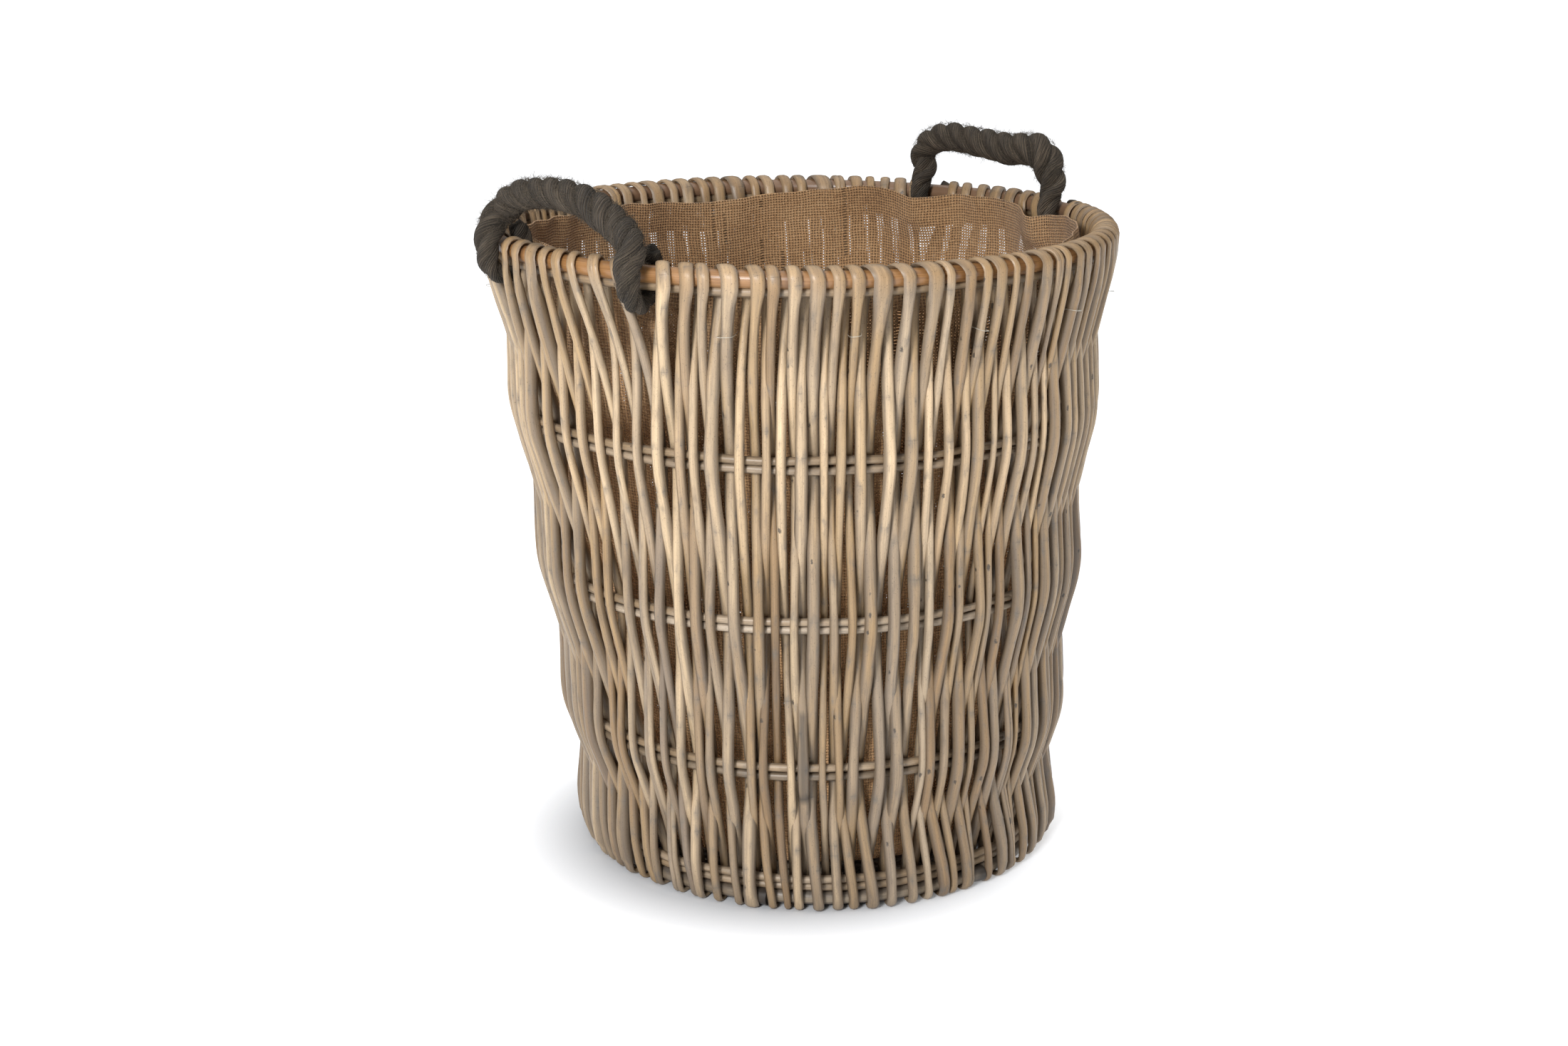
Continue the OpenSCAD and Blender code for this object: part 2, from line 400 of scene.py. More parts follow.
def willow_material(name, tones, honey_colour, dark, spots=1.0):
    """Peeled willow: streaks along it, bud scars, fine rings and worn folds."""
    m = Shader(name)
    grain = m.attribute("grain", 1)
    x, _, s = m.parts(grain)
    tone, mark, honey = m.parts(m.attribute("rod", 0), "Color")
    darkening_and_painted_light = m.attribute("rod", 3)

    patches = m.noise(grain, (70, 70, 9), detail=3.0)
    streaks = m.noise(grain, (900, 900, 22), detail=4.0, rough=0.65)
    blotches = m.noise(grain, (230, 230, 60), detail=3.0)
    colour = m.ramp(m.plus(tone, m.times(m.minus(patches, 0.5), 1.1)), *tones)
    own = m.lot(m.times(tone, 91.7))
    colour = m.mix(m.span(own, 0.6, 1.0, 0.0, 0.5), colour, GREY_BROWN)
    # Paler where the shift is below zero: painted light on the upper wall, with paler wood on the inner
    # legs.
    colour = m.mix(m.span(darkening_and_painted_light, 0.0, 0.5, 1.0, 0.0), colour, PALE_WOOD_AND_PAINTED_LIGHT)
    colour = m.mix(m.times(honey, 0.65), colour, honey_colour)
    colour = m.shaded(colour, m.span(streaks, 0.28, 0.72, 0.70, 1.20))
    colour = m.mix(m.span(blotches, 0.54, 0.74, 0.0, 0.42), colour, dark)
    colour = m.mix(m.span(darkening_and_painted_light, 0.5, 1.0, 0.0, 0.6), colour, dark)
    # Painted shade: the rod is darkened on its flanks, where it lies against its neighbours.
    colour = m.mix(m.span(m.math("ABSOLUTE", x), 0.0016, 0.0038, 0.0, 0.66), colour, dark)

    torn = m.vector("SCALE", m.noise(grain, scale=700.0, output=1), 2.2 * MM)
    near = m.vector("ADD", m.scaled(grain, (1, 1, 0.55)), torn)
    buds = m.node("TexVoronoi", {"Vector": near, "Scale": BUDS_PER_M})
    size = m.parts(buds.node.outputs[1], "Color")[0]
    pit = m.minus(buds, m.span(size, 0.35, 1.0, -0.04, 0.10))
    bud = m.times(m.span(pit, 0.0, 0.05, 1.0, 0.0), spots)
    ring_at = m.node("TexVoronoi", {"W": m.times(s, RINGS_PER_M)}, voronoi_dimensions="1D")
    ringed = m.times(m.span(ring_at, 0.001, 0.005, 1.0, 0.0), m.span(blotches, 0.48, 0.6))
    stain = m.times(m.span(ring_at, 0.0, 0.16, 0.45, 0.0), m.span(blotches, 0.46, 0.64))
    colour = m.mix(stain, colour, STAIN)
    speck = m.noise(grain, (1, 1, 0.6), scale=1500.0)
    scar = mark
    for other in (m.span(speck, 0.63, 0.69, 0.0, 0.5 * spots), m.times(bud, 0.85), m.times(ringed, 0.4)):
        scar = m.math("MAXIMUM", scar, other)
    colour = m.mix(scar, colour, [0.35 * c for c in dark])

    height = m.plus(m.times(streaks, 0.6), m.times(bud, -0.8))
    m.set(
        Base_Color=colour,
        Roughness=m.span(patches, 0.3, 0.7, 0.36, 0.56),
        Normal=m.bump(m.plus(height, m.times(ringed, -0.6)), 0.6, 0.45 * MM),
        Coat_Weight=0.105,
        Coat_Roughness=0.35,
    )
    return m.material


def cane_material():
    """Peeled rattan: warm brown, glossy, with long fibres and darker joints."""
    m = Shader("rattan_cane")
    grain = m.attribute("grain", 1)
    mark = m.parts(m.attribute("rod", 0), "Color")[1]
    fibres = m.noise(grain, (1500, 1500, 14), detail=4.0, rough=0.6)
    patches = m.noise(grain, (60, 60, 20), detail=3.0)
    colour = m.ramp(
        m.plus(m.times(fibres, 0.55), m.times(patches, 0.45)),
        (0.30, (0.130, 0.058, 0.020)),
        (0.50, (0.280, 0.138, 0.050)),
        (0.72, (0.400, 0.215, 0.090)),
    )
    colour = m.mix(mark, colour, (0.10, 0.045, 0.02))
    outside = m.parts(grain)[1]
    # Darker and greyer on the cane's inner side.
    colour = m.mix(m.span(outside, -0.003, 0.002, 0.8, 0.0), colour, (0.190, 0.116, 0.074))
    m.set(
        Base_Color=colour,
        Roughness=m.span(patches, 0.3, 0.7, 0.30, 0.48),
        Normal=m.bump(fibres, 0.35, 0.0004),
        Coat_Weight=0.25,
        Coat_Roughness=0.25,
    )
    return m.material


THREAD_PITCH = 2.35 * MM


def hessian_material():
    """Open plain weave of jute. Its map is in metres: across the threads, then along them."""
    m = Shader("hessian")
    uv = m.node("UVMap", uv_map="cloth")
    wander = m.vector("SUBTRACT", m.noise(uv, (60, 60, 60), output=1), (0.5, 0.5, 0.5))
    moved = m.vector("ADD", uv, m.vector("SCALE", wander, 2.6 * MM))
    u, v, _ = m.parts(m.vector("SCALE", moved, 1 / THREAD_PITCH))
    column, row = m.math("FLOOR", u), m.math("FLOOR", v)
    across, upward = (m.math("ABSOLUTE", m.minus(m.math("FRACT", at), 0.5)) for at in (u, v))

    def slub(index, seed, stretch):
        """How fat a thread is: its own size, and its thick and thin stretches."""
        size = m.times_plus(m.lot(m.plus(index, seed)), 0.12, 0.285)
        return m.times(size, m.span(m.noise(uv, stretch), 0.3, 0.7, 0.84, 1.18))

    weft = slub(row, 71.3, (55, 430, 1))
    warp = slub(column, 0.0, (430, 55, 1))
    stretch = m.noise(m.node("CombineXYZ", {0: m.times(column, 7.3), 1: m.times(v, 0.06)}), detail=0.0)
    chosen = m.above(m.lot(m.plus(column, 33.7)), 0.945)
    thinned = m.times(chosen, m.span(v, 95.0, 150.0, 0.35, 1.0))
    dropped = m.times(thinned, m.above(stretch, 0.53))
    warp = m.times(warp, m.minus(1.0, dropped))
    warp_in = m.span(m.minus(warp, across), -0.02, 0.02)
    weft_in = m.span(m.minus(weft, upward), -0.02, 0.02)
    even = m.math("MODULO", m.math("ABSOLUTE", m.plus(column, row)), 2.0)
    sign = m.times_plus(m.above(even, 0.5), 2.0, -1.0)

    def crown(inside, off, along_it, way):
        """How high a thread stands: round across it, and up where it passes over."""
        round_it = m.times(inside, m.math("COSINE", m.times(off, 3.6)))
        hump = m.times(m.math("COSINE", m.times(along_it, math.pi)), sign)
        return m.times(round_it, m.times_plus(hump, 0.5 * way, 1.0))

    warp_height = crown(warp_in, across, upward, 1)
    weft_height = crown(weft_in, upward, across, -1)
    height = m.math("MAXIMUM", warp_height, weft_height)
    hair_a = m.noise(uv, (5200, 900, 1), detail=3.0, rough=0.7)
    hair_b = m.noise(uv, (900, 5200, 1), detail=3.0, rough=0.7)
    on_warp = m.above(warp_height, weft_height)
    fibre = m.node("Mix", {0: on_warp, 2: hair_b, 3: hair_a}, data_type="FLOAT")
    thread_tone = m.node("TexWhiteNoise", {"Vector": m.node("CombineXYZ", {0: column, 1: row})})
    patch = m.noise(uv, (16, 16, 1), detail=3.0)
    colour = m.ramp(
        m.plus(m.times_plus(fibre, 0.55, m.times(thread_tone, 0.12)), m.times(patch, 0.36)),
        (0.26, (0.225, 0.112, 0.048)),
        (0.50, (0.510, 0.292, 0.136)),
        (0.78, (0.730, 0.480, 0.260)),
    )
    # Painted light: the cloth is painted lighter low down, where it shows between the rods, and darker
    # higher up, where its inside is lit.
    painted_light_by_height = m.span(m.parts(uv)[1], 0.25, 0.40, 1.30, 0.76)
    m.set(
        # Painted shade: darker where the threads sink at their edges and pass under each other.
        Base_Color=m.shaded(colour, m.times(m.span(height, 0.2, 1.3, 0.45, 1.1), painted_light_by_height)),
        Roughness=0.92,
        Alpha=m.math("MAXIMUM", warp_in, weft_in),
        Normal=m.bump(m.times_plus(fibre, 0.18, height), 0.8, 0.7 * MM),
        Sheen_Weight=0.1,
        Sheen_Roughness=0.5,
    )
    return m.material


def rope_material():
    """Dark three-strand rope: twisted yarns and pale fibre ends."""
    m = Shader("rope")
    grain = m.attribute("grain", 1)
    x, y, _ = m.parts(grain)
    tone, groove, loose = m.parts(m.attribute("rod", 0), "Color")
    fibres = m.noise(grain, (2600, 2600, 130), detail=4.0, rough=0.75)
    patches = m.noise(grain, (120, 120, 45), detail=3.0)
    yarns = m.noise(grain, (1300, 1300, 45), detail=3.0)
    colour = m.ramp(
        m.plus(m.times_plus(fibres, 0.50, m.times(patches, 0.25)), m.times(yarns, 0.30)),
        (0.38, (0.008, 0.0065, 0.005)),
        (0.52, (0.046, 0.036, 0.026)),
        (0.70, (0.185, 0.142, 0.100)),
    )
    # Higher tones are painted lighter: the right rope's strands have higher tones, painted light that
    # makes up for the shade it sits in; the strands also differ in tone.
    colour = m.shaded(colour, m.span(tone, 0.0, 1.0, 0.85, 1.75))
    turn = m.times_plus(patches, 3.0, m.times(m.math("ARCTAN2", y, x), 9.0))
    lay = m.math("ABSOLUTE", m.math("SINE", turn))
    # Painted shade: near black in the grooves between the yarns, but not on loose fibres.
    between = m.times(m.span(lay, 0.0, 0.45, 0.75, 0.0), m.minus(1.0, loose))
    colour = m.mix(between, colour, (0.010, 0.008, 0.006))
    colour = m.mix(m.times(loose, 0.6), colour, (0.150, 0.118, 0.084))
    colour = m.mix(m.times(groove, 0.8), colour, (0.008, 0.007, 0.006))
    m.set(
        Base_Color=colour,
        Roughness=0.95,
        Normal=m.bump(m.plus(m.plus(fibres, yarns), lay), 0.9, 1.1 * MM),
        Sheen_Weight=0.05,
        Sheen_Roughness=0.6,
        Specular_IOR_Level=0.15,
    )
    return m.material


def thread_material():
    m = Shader("clear_thread")
    streaks = m.noise(m.attribute("grain", 1), (900, 900, 200))
    m.set(
        Base_Color=m.ramp(streaks, (0.3, (0.42, 0.40, 0.33)), (0.7, (0.66, 0.63, 0.55))),
        Roughness=0.25,
        Specular_IOR_Level=0.6,
        Transmission_Weight=0.25,
    )
    return m.material


WILLOW = willow_material(
    "willow",
    ((0.05, (0.158, 0.096, 0.046)), (0.28, (0.272, 0.168, 0.077)), (0.50, (0.340, 0.222, 0.106)),
     (0.70, (0.296, 0.214, 0.134)), (0.96, (0.530, 0.390, 0.238))),
    (0.400, 0.256, 0.130), (0.110, 0.086, 0.066))
PALE_ROD = willow_material(
    "pale_willow",
    ((0.10, (0.170, 0.118, 0.066)), (0.50, (0.330, 0.232, 0.138)), (0.90, (0.600, 0.480, 0.350))),
    (0.437, 0.336, 0.205), (0.084, 0.060, 0.040), spots=0.7)
FOOT_WILLOW = willow_material(
    "foot_willow",
    ((0.10, (0.176, 0.132, 0.087)), (0.50, (0.302, 0.236, 0.160)), (0.90, (0.395, 0.320, 0.228))),
    (0.378, 0.264, 0.144), (0.059, 0.044, 0.034))
BASE_WILLOW = willow_material(
    "base_willow",
    ((0.10, (0.060, 0.045, 0.032)), (0.50, (0.150, 0.115, 0.080)), (0.90, (0.270, 0.215, 0.155))),
    (0.330, 0.240, 0.140), (0.045, 0.035, 0.025))
CANE = cane_material()
HESSIAN = hessian_material()
ROPE = rope_material()
THREAD = thread_material()


# ---- willow rods folded over the rim

LEG_STEP = 6 * MM
FINE_STEP = 2 * MM
SIDES = 10
FOLD_DROP = 1.9 * MM
FOLD_SIDE = 9.9 * MM
FOLD_UP = RIM_TOP - RIM[2] + FOLD_DROP - 2 * MM
HOOK_R = 5.45 * MM
HOOK_TIP = 5 * MM
TIP_Z = 1.55 * MM
LEVELS = [RIM[2], *BAND_Z, FOOT[2]]
EVEN_BELOW = 95 * MM
LEAN_BELOW = 85 * MM
SPLIT_AZ = math.radians(-136)
SPLIT_Z = (98 * MM, 168 * MM)


def leg_profile(rod_r, sign):
    """Heights and offsets of a leg from the floor up; sign is 1 for a leg that ends outside."""
    at_band = BAND_ROD + rod_r + 0.2 * MM
    at_foot = FOOT_ROD + rod_r + 0.4 * MM
    z = np.arange(0, RIM[2] - FOLD_DROP, FINE_STEP)
    knots = [(0, at_foot), (THIN_TOP + 2 * MM, at_foot)]
    for k, band_z in enumerate(reversed(BAND_Z)):
        way = -1 if k % 2 == 0 else 1
        knots += [(band_z - 8 * MM, way * at_band), (band_z + 8 * MM, way * at_band)]
    knots += [(RIM[2] - 14 * MM, FOLD_SIDE - 0.4 * MM), (RIM[2], FOLD_SIDE)]
    off = smooth(np.interp(z, *zip(*knots)), 5.5 * MM, FINE_STEP)
    return z, sign * off


def leg_azimuth(z, leg):
    """A leg's azimuth from its rim and foot places, with its own drift at each level."""
    share = clamp((RIM[2] - z) / EVEN_BELOW)
    squeezed = (1 - share) ** 2
    line = leg["free"] + (leg["foot"] - leg["free"]) * down(z) + (leg["rim"] - leg["free"]) * squeezed
    drift = smooth(np.interp(z, LEVELS[::-1], leg["drift"][::-1]), 8 * MM, FINE_STEP)
    bow = leg["bow"] * np.sin(z / leg["wave"] + leg["phase"]) * clamp(3 * share)
    lean = leg["lean"] * clamp(1 - z / LEAN_BELOW) ** 1.3
    return line + (drift + bow + lean) / wall_r(z)


def rod_path(outer, inner):
    """A folded rod from its outer foot over the rim to its inner foot.

    Gives its points, their normals, and how many points its hook, hook and outer leg, and fold have.
    """
    z, off = leg_profile(outer["r"], 1)
    az = leg_azimuth(z, outer)
    rows = np.arange(9 * MM, RIM[2] - 4 * MM, LEG_STEP)
    az_o, off_o = np.interp(rows, z, az), np.interp(rows, z, off)
    foot_az, foot_off = az_o[0], off_o[0]
    turn = np.radians([-90, -70, -48, -25])
    hook_az = np.full(len(turn) + 1, foot_az)
    hook_off = np.concatenate([
        [foot_off - HOOK_R - HOOK_TIP], foot_off - HOOK_R + HOOK_R * np.cos(turn)])
    hook_z = np.concatenate([[TIP_Z], TIP_Z + HOOK_R + HOOK_R * np.sin(turn)])
    lean = np.concatenate([[-math.pi / 2], turn])

    arc = np.linspace(0, math.pi, 11)[1:-1]
    blend = (1 - np.cos(arc)) / 2
    z2, off2 = leg_profile(inner["r"], -1)
    az2 = leg_azimuth(z2, inner)
    low = np.arange(2 * MM, RIM[2] - 4 * MM, LEG_STEP)[::-1]
    az_i, off_i = np.interp(low, z2, az2), np.interp(low, z2, off2)
    over = az[-1] + (az2[-1] - az[-1]) * blend
    points = np.concatenate([
        wall_point(hook_az, hook_z, hook_off),
        wall_point(az_o, rows, off_o),
        wall_point(over, RIM[2] - FOLD_DROP + FOLD_UP * np.sin(arc), FOLD_SIDE * np.cos(arc)),
        wall_point(az_i, low, off_i)])
    azimuth = np.concatenate([hook_az, az_o, over, az_i])
    tilt = np.concatenate([lean, np.zeros(len(rows)), arc, np.full(len(low), math.pi)])
    normal = round_line(tilt, outward(azimuth), UP)
    return points, normal, len(hook_z), len(hook_z) + len(rows), len(arc)


def split_mark(points, height, sides):
    """Dark wood along the outer side of a leg, where its bark has split open."""
    azimuth = np.arctan2(points[:, 1] - FOOT[1], points[:, 0] - FOOT[0])
    here = np.abs(azimuth - SPLIT_AZ) * FOOT_R < 9 * MM
    open_here = clamp(np.minimum(height - SPLIT_Z[0], SPLIT_Z[1] - height) / (4 * MM)) * here
    face = np.clip(-np.sin(np.arange(sides) * TAU / sides) * 3 - 2.2, 0, 0.8)
    knot = 0.9 * bell(height - SPLIT_Z[0], 2.5 * MM) * here
    return np.maximum(open_here[:, None] * face, knot[:, None])


def add_rod(tubes, rng, outer, inner, tone, scale=1.0):
    """One folded willow rod, flattened over the cane and at its tucked foot."""
    points, normal, n_hook, n_out, n_arc = rod_path(outer, inner)
    n = len(points)
    height = points[:, 2]
    share = np.zeros(n)
    share[n_out:n_out + n_arc] = np.linspace(0, 1, n_arc)
    share[n_out + n_arc:] = 1
    share = smooth(share, 30 * MM, LEG_STEP)
    radius = (outer["r"] + (inner["r"] - outer["r"]) * share) * scale
    lumps = 0.11 * unevenness(rng, n, 9 * MM, LEG_STEP)
    slow = 0.35 * unevenness(rng, n, 45 * MM, LEG_STEP)
    radius = radius * (1 + np.clip(lumps + slow, -0.16, 0.16))
    flat = clamp(1 - (RIM[2] - height - 6 * MM) / (26 * MM)) ** 1.5
    wide = radius * (1 + rng.uniform(0.12, 0.46) * flat)
    thick = radius + (1.8 * MM - radius) * flat
    thick[:n_hook] = np.linspace(1.4, 2.4, n_hook) * MM
    thick[n_hook] = 2.9 * MM
    wide[:n_hook] *= np.linspace(0.8, 1.0, n_hook)
    honey = clamp(1 - (RIM[2] - height + 1 * MM) / (11 * MM))
    mark = np.zeros((n, SIDES))
    if abs(inner["foot"] - SPLIT_AZ) < FOOT_SLOT:
        mark = split_mark(points, height, SIDES) * (np.arange(n) > n_out + n_arc)[:, None]
    # Darker and greyer towards the bottom; paler on the upper wall, most on the inner legs, which is
    # painted light from above and the front, with paler wood on the inner legs.
    darkening_and_painted_light = clamp(down(height) - 0.35) * rng.uniform(0.25, 0.85)
    upper = clamp(1 - np.abs(down(height) - 0.24) / 0.22) ** 0.5
    darkening_and_painted_light = darkening_and_painted_light - upper * (rng.uniform(0.0, 0.25) + share * rng.uniform(0.15, 0.6))
    tubes.sweep(points, normal, wide, thick, SIDES, tone, mark=mark, honey=honey, darkening_and_painted_light=darkening_and_painted_light, cut=0.35)


def arc_legs(rng, middle, slot, stakes, stretch):
    """The legs of one arc of stakes, laid side by side by their widths.

    stretch is how much further round the first and the last leg stand at the rim.
    """
    legs = 2 * stakes
    radius = np.clip(rng.normal(3.7, 0.72, stakes), 2.4, 5.1) * MM
    taper = rng.normal(0, 0.06, stakes)
    r = np.empty(legs)
    r[0::2] = radius * (1 - taper)
    r[1::2] = radius * (1 + taper)
    edges = np.concatenate([[0], np.cumsum(r)])
    place_at = (edges[:-1] + edges[1:]) / 2 / edges[-1] - 0.5
    rim_span = (legs - 1) * slot + 4.4 * MM / RIM_R
    stretched = np.radians(np.interp(place_at, [-0.5, -0.1, 0.1, 0.5], [-stretch[0], 0, 0, stretch[1]]))
    free_span = 2 * (HANDLE_AZ + GAP_AZ) if stakes == HANDLE_STAKES else rim_span + slot
    made = []
    for k in range(legs):
        drift = np.clip(rng.normal(0, 2.3, len(LEVELS)), -4.4, 4.4) * MM
        at_end = min(k, legs - 1 - k) < 2
        drift[0] *= 0.0 if at_end else 0.6
        drift[1] *= 0.4 if at_end else 0.9
        made.append({
            "rim": middle + place_at[k] * rim_span + stretched[k],
            "free": middle + place_at[k] * free_span,
            "lean": (8.0 if k % 2 else -2.0) * rng.uniform(0.5, 1.3) * MM,
            "foot": middle + place_at[k] * legs * FOOT_SLOT,
            "r": r[k],
            "drift": drift,
            "bow": rng.normal(0, 0.25) * MM,
            "wave": rng.uniform(28, 60) * MM,
            "phase": rng.uniform(0, TAU),
        })
    return made


SPLIT_STAKES = {("left", 6), ("front", 20), ("front", 31), ("back", 5), ("back", 19), ("right", 2)}


def make_stakes():
    rng = np.random.default_rng(11)
    handle_slot = 2 * (HANDLE_AZ - GAP_AZ) / (2 * HANDLE_STAKES - 1)
    side_slot = (math.pi - 2 * HANDLE_AZ - 2 * GAP_AZ) / (2 * SIDE_STAKES - 1)
    arcs = (
        ("left", math.pi, handle_slot, HANDLE_STAKES, (0.0, 3.0)),
        ("right", 0.0, handle_slot, HANDLE_STAKES, (0.0, 0.0)),
        ("front", -math.pi / 2, side_slot, SIDE_STAKES, (-1.2, 0.0)),
        ("back", math.pi / 2, side_slot, SIDE_STAKES, (0.0, 0.0)),
    )
    arc_of = {}
    for name, middle, slot, stakes, stretch in arcs:
        legs = arc_legs(rng, middle, slot, stakes, stretch)
        for first in range(0, stakes, GROUP):
            tubes = Tubes()
            for k in range(first, min(first + GROUP, stakes)):
                inner, outer = legs[2 * k], legs[2 * k + 1]
                tone = float(np.clip(rng.normal(0.5, 0.21), 0.02, 0.98))
                if (name, k) in SPLIT_STAKES:
                    for way in (-1, 1):
                        half = [dict(leg, rim=leg["rim"] + way * 0.5 * leg["r"] / RIM_R,
                                     foot=leg["foot"] + way * 0.5 * leg["r"] / FOOT_R)
                                for leg in (outer, inner)]
                        add_rod(tubes, rng, *half, min(tone + 0.1 * way + 0.1, 0.98), 0.56)
                else:
                    add_rod(tubes, rng, outer, inner, tone)
            group = name if stakes == HANDLE_STAKES else f"{name}_{first // GROUP + 1}"
            tubes.build(f"willow_rods_{group}", WILLOW, f"stakes_{group}")
        arc_of[name] = legs
    return arc_of


# ---- hoops


def hoop_path(az, centre, radius, rng, wander):
    """A ring with slow waves of its own."""
    r = np.full_like(az, radius)
    z = np.full_like(az, centre[2])
    for order in (2, 3, 5, 8, 13):
        r = r + wander * rng.normal() * np.cos(order * az + rng.uniform(0, TAU)) / 2
        z = z + wander * rng.normal() * np.cos(order * az + rng.uniform(0, TAU)) / 2
    return circle(centre, az, r, z)


def make_lapped_hoop(name, material, node, rng, hoop, starts, lap, rod_scale=1.0,
                     wander=0.5 * MM, heavy=False):
    """A hoop of rods from each start to the next, whose dark ends lie side by side.

    A heavy hoop's ends stay thick and swell into dark knots.
    """
    sides, thin_end, cut, knot, swell, dark = (14, 0.85, 1.0, 1.0, 0.4, 1.0) if heavy else (
        10, 0.55, 0.9, 0.6, 0.0, 0.5)
    tubes = Tubes()
    centre, radius, rod = hoop
    for first, last in zip(starts, [*starts[1:], starts[0] + TAU]):
        az = np.linspace(first - lap / 2, last + lap / 2, int(34 * (last - first)) + 20)
        ends = np.minimum(az - az[0], az[-1] - az)
        near = clamp(1 - ends / lap)
        size = rod * rod_scale * (1 - (1 - thin_end) * near ** 0.7)
        size = size * (1 + 0.05 * unevenness(rng, len(az), 3, 1))
        waves_of = np.random.default_rng(int(1000 * (starts[0] + TAU)))
        path = hoop_path(az, centre, radius, waves_of, wander)
        tip = clamp(1.6 * np.exp(-ends * radius / (12 * MM)) - 0.25) * knot
        size = size * (1 + swell * tip)
        way = np.where(az - az[0] < az[-1] - az, -1, 1)
        side_step = way * near * rod * thin_end * 0.92
        path = path + side_step[:, None] * outward(az)
        tone = float(np.clip(rng.normal(0.5, 0.2), 0.05, 0.95))
        darkening_and_painted_light = dark * clamp(0.25 + 0.6 * near)
        tubes.sweep(path, outward(az), size, size, sides, tone, cut=cut, darkening_and_painted_light=darkening_and_painted_light, mark=tip)
    tubes.build(name, material, node)


CANE_JOINTS = [0.4, 1.35, 2.2, 3.0, 3.95, 4.72, 5.6]


def gap_near(legs, az):
    """The middle of the gap between two outer feet that is nearest to an azimuth."""
    feet = np.array([leg["foot"] + 0.8 * leg["lean"] / FOOT_R for leg in legs[1::2]])
    middles = (feet[1:] + feet[:-1]) / 2
    return middles[np.argmin(np.abs(middles - az))]


def make_hoops():
    rng = np.random.default_rng(5)
    tubes = Tubes()
    az = around(360)
    away = nearest(az, CANE_JOINTS) * RIM_R
    size = CANE_R * (0.985 + 0.05 * bell(away, 3.2 * MM))
    line = 0.8 * bell(away, 1.6 * MM)
    path = hoop_path(az, RIM, RIM_R, rng, 0.1 * MM)
    tubes.sweep(path, outward(az), size, size, 20, 0.5, closed=True, mark=line)
    tubes.build("rim_cane_hoop", CANE, "rim_cane")

    for number, node in enumerate(("under_rim_hoop", "foot_thin_hoop_lower", "foot_thin_hoop_upper")):
        hoop, wander = ring(node), 0.5 * MM
        if node == "under_rim_hoop":
            hoop, wander = (hoop[0] + 1.2 * MM * UP, hoop[1], 1.12 * hoop[2]), 0.25 * MM
        make_lapped_hoop(f"{node}_rod", PALE_ROD, node, rng, hoop,
                         [4.4 + 0.9 * number], 0.35, wander=wander)

    for band, rows, first in zip(("upper", "middle", "lower"), BANDS, (-103, -95, -93)):
        for j, row in enumerate(("top", "bottom")):
            start = math.radians(first + 7 * j)
            node = f"{band}_band_{row}_rod"
            make_lapped_hoop(f"{node}_willow", PALE_ROD, node, rng, rows[j],
                             [start, start + 2.9], 0.3, 0.98, 0.45 * MM)

    ends = [gap_near(ARCS["front"], math.radians(az)) + 0.6 * FOOT_SLOT for az in (-146.4, -90.8)]
    make_lapped_hoop("foot_hoop_rods", FOOT_WILLOW, "foot_hoop", rng,
                     (FOOT, FOOT_R, FOOT_ROD), [*(end - 0.11 for end in ends), math.radians(60)],
                     0.22, wander=0.35 * MM, heavy=True)


# ---- woven base


def make_base():
    """Sixteen spokes from two crossed bundles, with rods woven round them."""
    rng = np.random.default_rng(3)
    low, high = corners("base_weave_top")
    centre = (low + high) / 2
    edge_r = (high[0] - low[0]) / 2
    sticks = [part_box(f"base_sticks_{name}") for name in ("lower", "upper")]
    stick_z = [(box[0][2] + box[1][2]) / 2 for box in sticks]
    stick_r = (sticks[0][1][2] - sticks[0][0][2]) / 2
    mid_z = sum(stick_z) / 2
    bundle_gap = 7 * MM
    for level, name in enumerate(("lower", "upper")):
        tubes = Tubes()
        turn = level * math.pi / 2
        for k in (-1.5, -0.5, 0.5, 1.5):
            spread = math.radians(22.5) * k
            reach = np.linspace(-1, 1, 61)
            out = np.abs(reach) * edge_r
            bent = clamp((out - 24 * MM) / (26 * MM))
            bent = bent * bent * (3 - 2 * bent)
            x = np.sign(reach) * out * (1 - bent + np.cos(spread) * bent)
            y = k * bundle_gap * (1 - bent) + out * np.sin(spread) * bent
            z = stick_z[level] + (mid_z - stick_z[level]) * bent
            path = np.stack([centre[0] + x * math.cos(turn) - y * math.sin(turn),
                             centre[1] + x * math.sin(turn) + y * math.cos(turn), z], axis=1)
            size = stick_r * rng.uniform(0.9, 1.0) * np.linspace(1.0, 0.86, len(path))
            tubes.sweep(path, np.tile(UP, (len(path), 1)), size, size, 8, rng.uniform(0.3, 0.9))
        tubes.build(f"base_spokes_{name}", BASE_WILLOW, f"base_sticks_{name}")

    weave_r = 2.5 * MM
    rings = np.arange(46 * MM, edge_r - weave_r, 2 * weave_r * 1.02)
    az = around(160)
    for side, name, own in ((1, "top", rings[1::2]), (-1, "bottom", rings[::2])):
        tubes = Tubes()
        for radius in own:
            swing = (stick_r + weave_r) * np.sin(8 * az) * side
            if radius < 60 * MM:
                swing = swing * 0.7
            wobble = 0.5 * MM * np.cos(3 * az + rng.uniform(0, TAU))
            path = circle(centre, az, radius + wobble, mid_z + swing)
            size = weave_r * rng.uniform(0.85, 1.05)
            tubes.sweep(path, outward(az), size, size, 6, rng.uniform(0.1, 0.9), closed=True)
        tubes.build(f"base_weavers_{name}", BASE_WILLOW, f"base_weave_{name}")


# ---- liner

LINER_COLUMNS = 360
LINER_AZ = around(LINER_COLUMNS)
LINER_GAP = 13.6 * MM
TOP_INWARD = 24 * MM
ROPE_PUSH = 12 * MM
ROPE_AZ = [-HANDLE_AZ, HANDLE_AZ, math.pi - HANDLE_AZ, math.pi + HANDLE_AZ]
